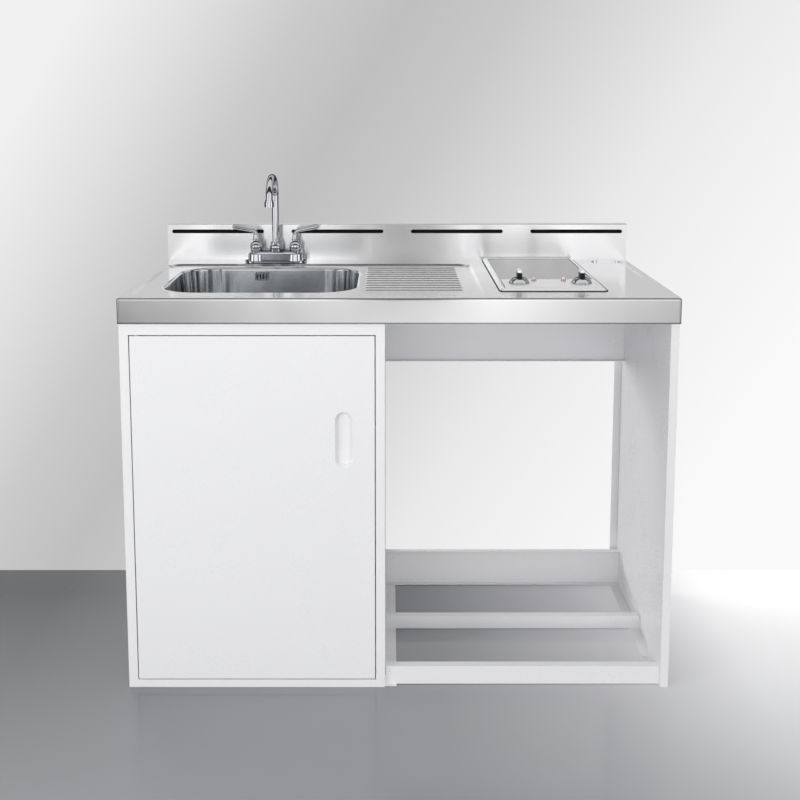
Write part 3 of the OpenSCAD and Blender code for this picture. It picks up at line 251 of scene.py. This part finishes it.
# Painted shade along the bottom of the front edge, where it turns under: fully below the first height,
# none above the second
LIP_PAINTED_SHADE = (0.8335, 0.836)
# Painted shade in the bends that lean to the front: where the normal's Y begins to count and counts
# fully, and the same for its Z
PAINTED_BEND_SHADE = (-0.5, -0.64, 0.15, 0.4)

# The looks of the CAD's material slots, and of the lens of the hob's lamps
LOOKS = {
    "worktop_steel": dict(METAL, colour=STEEL, rough=(0.165, 0.185), grain=BRUSHED_ALONG_X,
                          bump=0.003, across=ACROSS_X, front_gloss=LIP_GLOSS, hem=LIP_PAINTED_SHADE,
                          crease=PAINTED_BEND_SHADE, Anisotropic=0.8),
    # The bowl's steel is given a darker tone than the worktop's: painted shade that deepens the bowl
    "bowl_steel": dict(METAL, colour=tone(211, 213, 215), rough=(0.1, 0.12), grain=BRUSHED_UPRIGHT,
                       bump=0.004, across=ROUND_BOWL, pressed=BOWL_PRESSED, Anisotropic=0.8),
    "splash_steel": dict(METAL, colour=STEEL, rough=(0.2, 0.23), grain=BRUSHED_ALONG_X,
                         bump=0.004, across=ACROSS_X, Anisotropic=0.92),
    "hob_steel": dict(METAL, colour=tone(240, 240, 241), rough=(0.16, 0.24), bump=0.03),
    "strip_steel": dict(METAL, colour=tone(252), metallic=0.45, rough=(0.42, 0.5),
                        grain=BRUSHED_ALONG_X, bump=0.04),
    "plain_steel": dict(METAL, colour=tone(205), rough=(0.25, 0.4)),
    "zinc": dict(colour=tone(190, 193, 197), metallic=1.0, rough=(0.35, 0.5), mottle=0.35,
                 grain_scale=112, bump=0.08),
    "chrome": dict(colour=tone(218, 220, 224), metallic=1.0, rough=(0.02, 0.05), mottle=0.02,
                   bump=0.01, bump_size=0.00002, Specular_Tint=tone(60, 62, 66)),
    "brass": dict(colour=tone(206, 170, 96), metallic=1.0, rough=(0.2, 0.35), mottle=0.3),
    "rubber": dict(colour=tone(38), rough=(0.6, 0.8), mottle=0.3, bump=0.3),
    "white_plastic": dict(colour=tone(232, 232, 230), rough=(0.35, 0.45), bump=0.1),
    "white_enamel": dict(colour=tone(240, 240, 242), rough=(0.26, 0.34), mottle=0.05,
                         grain_scale=240, bump=0.06, bump_size=0.0001, Coat_Weight=0.25,
                         Coat_Roughness=0.15),
    "hob_glass": dict(colour=tone(52, 55, 57), rough=(0.05, 0.09), mottle=0.1, bump=0.01,
                      bump_size=0.00002, IOR=1.42, Coat_Weight=0.05, Coat_Roughness=0.04),
    # Painted shade: a black liner behind the splashback's slots makes the slots read dark
    "vent_black": dict(colour=tone(14), rough=(0.5, 0.7), mottle=0.2, bump=0.2),
    "black_plastic": dict(colour=tone(9), rough=(0.3, 0.42), mottle=0.2, bump=0.15,
                          Specular_IOR_Level=0.25),
    "bakelite": dict(colour=tone(92, 62, 42), rough=(0.35, 0.5), mottle=0.4, bump=0.2),
    "insulation": dict(colour=tone(214, 208, 196), rough=(0.85, 0.95), mottle=0.5, bump=0.8,
                       bump_size=0.001, grain_scale=192),
    "lamp_lens": dict(colour=tone(238, 226, 226), rough=(0.08, 0.14), mottle=0.1, Coat_Weight=0.5),
    "lamp_red": dict(colour=tone(214, 150, 152), rough=(0.1, 0.16), mottle=0.1, Coat_Weight=0.5),
}
materials = {name: surface(name, **look) for name, look in LOOKS.items()}
for node in nodes.values():
    for slot in node.material_slots:
        slot.material = materials[slot.material.name.split(".")[0]]


# ---------------------------------------------------------------- mesh helpers

# Points nearer than this are one point (mm)
SAME_POINT = 0.001


def new_piece(name, bm, material, body="root", smooth=40):
    """Piece from a bmesh in millimetres; bends of more than smooth degrees stay sharp."""
    bmesh.ops.remove_doubles(bm, verts=bm.verts, dist=SAME_POINT)
    bmesh.ops.recalc_face_normals(bm, faces=bm.faces)
    bmesh.ops.scale(bm, vec=(MM, MM, MM), verts=bm.verts)
    mesh = bpy.data.meshes.new(name)
    bm.to_mesh(mesh)
    bm.free()
    mesh.materials.append(materials[material])
    mesh.polygons.foreach_set("use_smooth", [True] * len(mesh.polygons))
    mesh.set_sharp_from_angle(angle=math.radians(smooth))
    piece = bpy.data.objects.new(name, mesh)
    bpy.context.scene.collection.objects.link(piece)
    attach(piece, body)
    return piece


def loft(bm, rings, caps=(False, False)):
    """Faces between closed rings of the same number of points, with the ends capped if asked."""
    made = [[bm.verts.new(p) for p in ring] for ring in rings]
    for low, high in zip(made, made[1:]):
        for i in range(len(low)):
            j = (i + 1) % len(low)
            bm.faces.new((low[i], low[j], high[j], high[i]))
    if caps[0]:
        bm.faces.new(list(reversed(made[0])))
    if caps[1]:
        bm.faces.new(made[-1])


def circle(x, y, r, z, count=64):
    """Ring of points round a centre, at a height."""
    turns = [2 * math.pi * i / count for i in range(count)]
    return [(x + r * math.cos(a), y + r * math.sin(a), z) for a in turns]


def rounded(x, y, w, d, r, z, steps=10):
    """Ring of points round a rectangle with round corners, at a height."""
    ring = []
    for cx, cy, start in ((1, 1, 0), (-1, 1, 1), (-1, -1, 2), (1, -1, 3)):
        for i in range(steps + 1):
            a = (start + i / steps) * QUARTER
            ring.append((x + cx * (w / 2 - r) + r * math.cos(a),
                         y + cy * (d / 2 - r) + r * math.sin(a), z))
    return ring


def spoke(bm, size, out, up, turn, foot, lean=0):
    """Block at a distance out from a foot and up from it, at a turn about it; lean tips it."""
    made = bmesh.ops.create_cube(bm, size=1)["verts"]
    bmesh.ops.scale(bm, vec=size, verts=made)
    for angle, axis, shift in ((lean, "Y", (out, 0, up)), (turn, "Z", foot)):
        matrix = Matrix.Rotation(math.radians(angle), 3, axis)
        bmesh.ops.rotate(bm, cent=(0, 0, 0), matrix=matrix, verts=made)
        bmesh.ops.translate(bm, vec=shift, verts=made)


# ---------------------------------------------------------------- hob knobs, lamps and seals

# Skirt of a knob, as (mm in from its edge, mm up) from the foot to the flat top
SKIRT = ((0, 0), (0, 1.8), (0.5, 2.6), (3, 6), (6.6, 9.4), (9.6, 11.6), (10.6, 12), (13.5, 12.2))
# Grip: its thickness and length, its foot above the knob's, and the height of its pale cap (mm)
BLADE_T = 11.0
BLADE_L = 33.0
BLADE_Z = 7.0
CAP_H = 6.0
# How much narrower the grip and the cap are at the top than at the foot (mm)
GRIP_TAPER = 0.6
CAP_TAPER = 1.4
# Radius of their upright corners at the foot and at the top, and of the rounded top edge (mm)
FOOT_CORNER = 3.2
TOP_CORNER = 3.0
TOP_EDGE = 1.2
# Where the top edge rounds inwards, the corners' radius shrinks by this part of it
CORNER_LOSS = 0.8
# Steps in the quarter turn of a corner, and of the top edge
CORNER_STEPS = 6
EDGE_STEPS = 4
# Scale marks on the skirt: length, width and thickness, distance out and up, lean and turns
MARK = (6.4, 2.8, 0.6)
MARK_R = 17.6
MARK_Z = 7.9
MARK_LEAN = 42
MARK_TURNS = (-28, 0, 28, 152, 180, 208)


def blade(bm, x, y, z0, z1, taper):
    """Grip that narrows a little towards its rounded top."""
    rings = [rounded(x, y, BLADE_T, BLADE_L, FOOT_CORNER, z0, CORNER_STEPS)]
    for i in range(EDGE_STEPS + 1):
        a = i / EDGE_STEPS * QUARTER
        inward = TOP_EDGE * (1 - math.cos(a))
        inset = taper + 2 * inward
        rings.append(rounded(x, y, BLADE_T - inset, BLADE_L - inset, TOP_CORNER - CORNER_LOSS * inward,
                             z1 - TOP_EDGE + TOP_EDGE * math.sin(a), CORNER_STEPS))
    loft(bm, rings, caps=(True, True))


def build_knob(name):
    """Knob with a chrome skirt, dark marks, and a black grip under a pale cap."""
    low, high = box_mm(name)
    x, y, width = plan(low, high)[:3]
    skirt, grip, cap, marks = (bmesh.new() for part in range(4))
    loft(skirt, [circle(x, y, width / 2 - inset, low.z + up) for inset, up in SKIRT], caps=(True, True))
    blade(grip, x, y, low.z + BLADE_Z, high.z - CAP_H, GRIP_TAPER)
    blade(cap, x, y, high.z - CAP_H, high.z, CAP_TAPER)
    for turn in MARK_TURNS:
        spoke(marks, MARK, MARK_R, MARK_Z, turn, (x, y, low.z), MARK_LEAN)
    new_piece(name + "_skirt", skirt, "chrome", name)
    grip = new_piece(name + "_grip", grip, "black_plastic", name)
    new_piece(name + "_cap", cap, "strip_steel", name)
    new_piece(name + "_marks", marks, "black_plastic", name)
    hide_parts(name)


# Ring of a lamp, as (mm in from its edge, mm up)
LAMP_RING = ((0, 0), (0, 0.9), (0.3, 1.5), (0.8, 1.8), (1.3, 1.6), (1.4, 0.9))
LAMP_RING_POINTS = 48
# Its cut jewel, as (mm in from its edge, part of its height)
LAMP_JEWEL = ((1.5, 0.1), (1.4, 0.46), (2.1, 0.7), (3.6, 0.9), (5.2, 1.0))
LAMP_FACETS = 9
JEWEL_SMOOTH = 5
# Claws: turns about the lamp, thickness and width (mm), height and middle as parts of the
# lamp's height, and how far in from its edge they stand (mm)
CLAW_TURNS = (200, 270, 340)
CLAW_T, CLAW_W = 0.7, 1.3
CLAW_TALL = 0.42
CLAW_UP = 0.28
CLAW_IN = 1.2


def build_lamps_on_hob():
    """Signal lamps: a red ring round a cut jewel, held by three dark claws."""
    low, high = box_mm("hob_lamps")
    y, r, height = (low.y + high.y) / 2, (high.y - low.y) / 2, high.z - low.z
    rings, jewels, claws = (bmesh.new() for part in range(3))
    for x in (low.x + r, high.x - r):
        loft(rings, [circle(x, y, r - inset, low.z + up, LAMP_RING_POINTS) for inset, up in LAMP_RING],
             caps=(True, False))
        loft(jewels, [circle(x, y, r - inset, low.z + height * part, LAMP_FACETS)
                      for inset, part in LAMP_JEWEL], caps=(True, True))
        for turn in CLAW_TURNS:
            spoke(claws, (CLAW_T, CLAW_W, CLAW_TALL * height), r - CLAW_IN, CLAW_UP * height, turn,
                  (x, y, low.z))
    piece = new_piece("lamp_rings", rings, "lamp_red")
    new_piece("lamp_jewels", jewels, "lamp_lens", smooth=JEWEL_SMOOTH)
    new_piece("lamp_claws", claws, "black_plastic")
    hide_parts("hob_lamps")


# Joint round the glass, as (mm out from the plate's edge, mm up from its top)
GLASS_JOINT = ((0.45, -0.65), (0.45, 0.15), (0, 0.25), (-0.8, 0.15), (-0.8, -0.3))
GLASS_CORNER = 3.5
# Gasket under the hob's rim, as (mm out from the rim's edge, mm up from its underside), and how far it
# is moved to the front, where it shows. It is a real gasket, but made wider and moved forward so that
# its black also stands in for the shadow under the rim's front: partly painted shade
RIM_GASKET = ((-1.0, 0.02), (1.0, 0.02), (1.0, 1.5), (-1.0, 1.5))
RIM_CORNER = 8
RIM_FORWARD = 1.0


def seal(name, plate, z, corner, profile):
    """Black strip round a plate that is given by its middle, width and depth."""
    x, y, w, d = plate
    bm = bmesh.new()
    loft(bm, [rounded(x, y, w + 2 * out, d + 2 * out, corner + out, z + up) for out, up in profile])
    new_piece(name, bm, "rubber")


def build_hob_seals():
    """Joint round the glass, and gasket under the rim, whose black is partly painted shade."""
    low, high = box_mm("hob_glass")
    seal("glass_joint", plan(low, high), high.z, GLASS_CORNER, GLASS_JOINT)
    low, high = box_mm("hob_surround")
    x, y, w, d = plan(low, high)
    seal("rim_gasket", (x, y - RIM_FORWARD, w, d), low.z, RIM_CORNER, RIM_GASKET)


build_knob("knob_left")
build_knob("knob_right")
build_lamps_on_hob()
build_hob_seals()


# ---------------------------------------------------------------- camera and lamps

CAM_X, CAM_Y, CAM_Z = -22.4, -2793.6, 1313.0
CAM_TILT = 7.66
CAM_LENS = 52.58
CAM_SENSOR = 36
CAM_SHIFT = (0.0141, -0.18)
# Lamps, as (name, width and height, place, target, watts)
LAMPS = (
    ("lamp_front", (3.0, 1.2), (0.1, -3.6, 0.7), (0, 0, 0.5), 43),
    ("lamp_side", (1.2, 1.4), (-2.4, -2.4, 0.9), (0.4, 0, 0.5), 22),
    ("lamp_top", (2.0, 1.2), (0.2, -0.6, 3.2), (0.2, 0, 0.9), 14),
    ("lamp_rear", (0.8, 0.8), (-1.3, 1.7, 0.75), (0.57, 0, 0.5), 24),
)


def build_camera():
    data = bpy.data.cameras.new("camera")
    data.lens = CAM_LENS
    data.sensor_width = CAM_SENSOR
    data.shift_x, data.shift_y = CAM_SHIFT
    camera = bpy.data.objects.new("camera", data)
    camera.location = (CAM_X * MM, CAM_Y * MM, CAM_Z * MM)
    camera.rotation_euler = (QUARTER - math.radians(CAM_TILT), 0, 0)
    bpy.context.scene.collection.objects.link(camera)
    bpy.context.scene.camera = camera


def build_lamp(name, size, place, target, power):
    """Soft rectangular lamp aimed at a point, and not itself mirrored."""
    data = bpy.data.lights.new(name, "AREA")
    data.shape = "RECTANGLE"
    data.size, data.size_y = size
    data.energy = power
    light = bpy.data.objects.new(name, data)
    light.location = place
    light.rotation_euler = (Vector(target) - Vector(place)).to_track_quat("-Z", "Y").to_euler()
    light.visible_glossy = False
    bpy.context.scene.collection.objects.link(light)


# ---------------------------------------------------------------- backdrop and floor

WALL_Y = 0.345
WALL_HEIGHT = 5.0
# Half the width of the backdrop and of the floor
STAGE_REACH = 4.2
# The backdrop is darkest along a slanted line: the height and X of one place on it, and how
# much its X grows per metre up
VALLEY_Z = 1.549
VALLEY_X = 0.057
VALLEY_SLOPE = 0.625
# Tones by the distance to the right of that line; blue is one tone higher
BACKDROP = ((-0.9, 240), (-0.6, 224), (-0.3, 202), (-0.03, 191), (0.25, 200), (0.55, 217),
            (0.85, 233), (1.15, 241), (1.6, 249))
# Tones of the floor between two X, at its far side and at its near side, and the two Y of these: a
# painted reflection of the backdrop and the white unit, dark at the left and bright at the right
FLOOR_ACROSS = (-0.9, 0.9)
FLOOR_FAR = ((0, tone(62, 64, 67)), (0.5, tone(154, 155, 158)), (0.75, tone(192, 192, 195)),
             (0.95, tone(244, 244, 245)))
FLOOR_NEAR = ((0, tone(162, 164, 167)), (1, tone(132, 133, 136)))
FAR_TO_NEAR = (0.2, -1.1)
FLOOR_GRIT = dict(scale=700, detail=3)
FLOOR_ROUGH = (0.1, 0.16)
FLOOR_SPECULAR = 0.6
# For the camera the floor also glows, a painted reflection of the bright backdrop at the right: not at
# all at the first X, and this strongly at the second
LIFT_ACROSS = (0.1, 0.9)
FLOOR_LIFT = 0.4


def plain_sheet(name, corners, material):
    mesh = bpy.data.meshes.new(name)
    mesh.from_pydata(corners, [], [(0, 1, 2, 3)])
    mesh.materials.append(material)
    sheet = bpy.data.objects.new(name, mesh)
    bpy.context.scene.collection.objects.link(sheet)
    return sheet


def build_backdrop():
    """Diagonal studio gradient: a grey valley from the top middle to the lower left, white at the right.

    It shows from the front alone, and neither lights the object nor is mirrored in it.
    """
    material, t = new_material("backdrop")
    geometry = t.add("ShaderNodeNewGeometry")
    at = t.split(geometry.outputs["Position"])
    valley = t.math("MULTIPLY_ADD", t.math("SUBTRACT", at["Z"], VALLEY_Z), VALLEY_SLOPE, VALLEY_X)
    stops = [(place, tone(level, level, level + 1)) for place, level in BACKDROP]
    shade = t.add("ShaderNodeEmission", Color=t.wide_ramp(t.math("SUBTRACT", at["X"], valley), stops))
    clear = t.add("ShaderNodeBsdfTransparent")
    one_sided = t.either(geometry.outputs["Backfacing"], shade, clear)
    t.add("ShaderNodeOutputMaterial", Surface=one_sided)
    w, y, h = STAGE_REACH, WALL_Y, WALL_HEIGHT
    wall = plain_sheet("backdrop", [(-w, y, 0), (w, y, 0), (w, y, h), (-w, y, h)], material)
    wall.visible_diffuse = False
    wall.visible_glossy = False
    wall.visible_shadow = False


def build_floor():
    """Smooth floor painted from dark at the far left to white at the far right, a painted reflection of
    the backdrop and unit, not mirrored in the object.
    """
    material, t = new_material("floor")
    at = t.split(t.add("ShaderNodeNewGeometry").outputs["Position"])
    across = t.span(at["X"], FLOOR_ACROSS[0], FLOOR_ACROSS[1], 0, 1)
    far = t.ramp(across, FLOOR_FAR)
    near = t.ramp(across, FLOOR_NEAR)
    colour = t.blend("MIX", t.span(at["Y"], FAR_TO_NEAR[0], FAR_TO_NEAR[1], 0, 1), far, near)
    roughness = t.spread(t.noise(t.place(), **FLOOR_GRIT), FLOOR_ROUGH[0], FLOOR_ROUGH[1])
    path = t.add("ShaderNodeLightPath")
    lift = t.math("MULTIPLY", path.outputs["Is Camera Ray"],
                  t.span(at["X"], LIFT_ACROSS[0], LIFT_ACROSS[1], 0, FLOOR_LIFT))
    shader = t.add("ShaderNodeBsdfPrincipled", Base_Color=colour, Roughness=roughness,
                   Specular_IOR_Level=FLOOR_SPECULAR, Emission_Color=colour, Emission_Strength=lift)
    clear = t.add("ShaderNodeBsdfTransparent")
    t.add("ShaderNodeOutputMaterial", Surface=t.either(path.outputs["Is Glossy Ray"], shader, clear))
    w = STAGE_REACH
    plain_sheet("floor", [(-w, -w, 0), (w, -w, 0), (w, w, 0), (-w, w, 0)], material)


# ---------------------------------------------------------------- world

# Level of the light that falls on the object from all round, and what the camera sees of the world
AMBIENT = 0.55
WORLD_SEEN = tone(236, 236, 238)
# What polished metal mirrors above and below the horizon, as (degrees from the front towards the
# right, level): soft boxes, the dark gaps between them, and the pale backdrop behind the object
MIRRORED_HIGH = ((-180, 0.62), (-124, 0.5), (-110, 0.08), (-74, 0.08), (-62, 1.5), (-44, 1.5),
                 (-37, 0.05), (-30, 0.05), (-22, 1.1), (-9.9, 1.1), (-6, 1.5), (-2.4, 1.6),
                 (-1.4, 0.6), (-0.7, 0.02), (2.4, 0.02), (3.0, 0.6), (3.8, 1.6), (6, 1.6),
                 (9, 1.15), (22, 1.0), (30, 0.05), (37, 0.05), (44, 1.5), (62, 1.5), (74, 0.08),
                 (110, 0.08), (124, 0.5), (180, 0.62))
MIRRORED_LOW = ((-180, 0.5), (-122, 0.4), (-108, 0.05), (-78, 0.05), (-64, 0.4), (-24, 0.15),
                (-13.1, 0.22), (-9.6, 0.41), (-4.6, 0.51), (0.5, 0.8), (5.6, 0.84), (10.6, 0.6),
                (14, 0.44), (24, 0.3), (64, 0.4), (78, 0.05), (108, 0.05), (122, 0.4), (180, 0.5))
# Upward part of the direction where low turns to high, and where the even ceiling begins and fills
LOW_TO_HIGH = (-0.155, -0.12)
CEILING_FROM = (0.24, 0.4)
CEILING = tone(230)
# How much of it all is left, by the angle from the rear horizon over the top to the front one:
# one dark strip hangs over the rear and one over the front
OVERHEAD = ((0, 1.0), (50, 1.0), (57, 0.05), (72, 0.04), (80, 1.0), (116, 1.0), (124, 0.04),
            (146, 0.04), (154, 1.0), (180, 1.0))


def by_angle(t, angle, levels):
    """Grey by an angle; levels holds (degrees, level)."""
    stops = [(degrees, (level, level, level, 1)) for degrees, level in levels]
    return t.wide_ramp(angle, stops, math.radians(1)).outputs[0]


def build_world():
    """Even light for the object, a studio for what it mirrors, and a pale ground for the camera."""
    world = bpy.data.worlds.new("studio")
    world.use_nodes = True
    bpy.context.scene.world = world
    t = Tree(world.node_tree)
    at = t.split(t.add("ShaderNodeTexCoord").outputs["Generated"])
    turn = t.math("ARCTAN2", at["X"], t.math("MULTIPLY", at["Y"], -1.0))
    low, high = by_angle(t, turn, MIRRORED_LOW), by_angle(t, turn, MIRRORED_HIGH)
    studio = t.blend("MIX", t.span(at["Z"], LOW_TO_HIGH[0], LOW_TO_HIGH[1], 0, 1), low, high)
    rise = t.span(at["Z"], CEILING_FROM[0], CEILING_FROM[1], 0, 1)
    studio = t.blend("MIX", rise, studio, CEILING)
    over = t.math("ARCTAN2", t.math("MAXIMUM", at["Z"], 0.0), at["Y"])
    studio = t.blend("MULTIPLY", 1.0, studio, by_angle(t, over, OVERHEAD))
    path = t.add("ShaderNodeLightPath").outputs
    even = t.add("ShaderNodeBackground", Color=(1, 1, 1, 1), Strength=AMBIENT)
    mirrored = t.add("ShaderNodeBackground", Color=studio, Strength=1.0)
    seen = t.add("ShaderNodeBackground", Color=WORLD_SEEN, Strength=1.0)
    lit = t.either(path["Is Glossy Ray"], even, mirrored)
    t.add("ShaderNodeOutputWorld", Surface=t.either(path["Is Camera Ray"], lit, seen))


build_camera()
for row in LAMPS:
    build_lamp(*row)
build_backdrop()
build_floor()
build_world()

bpy.context.scene.view_settings.view_transform = "Standard"
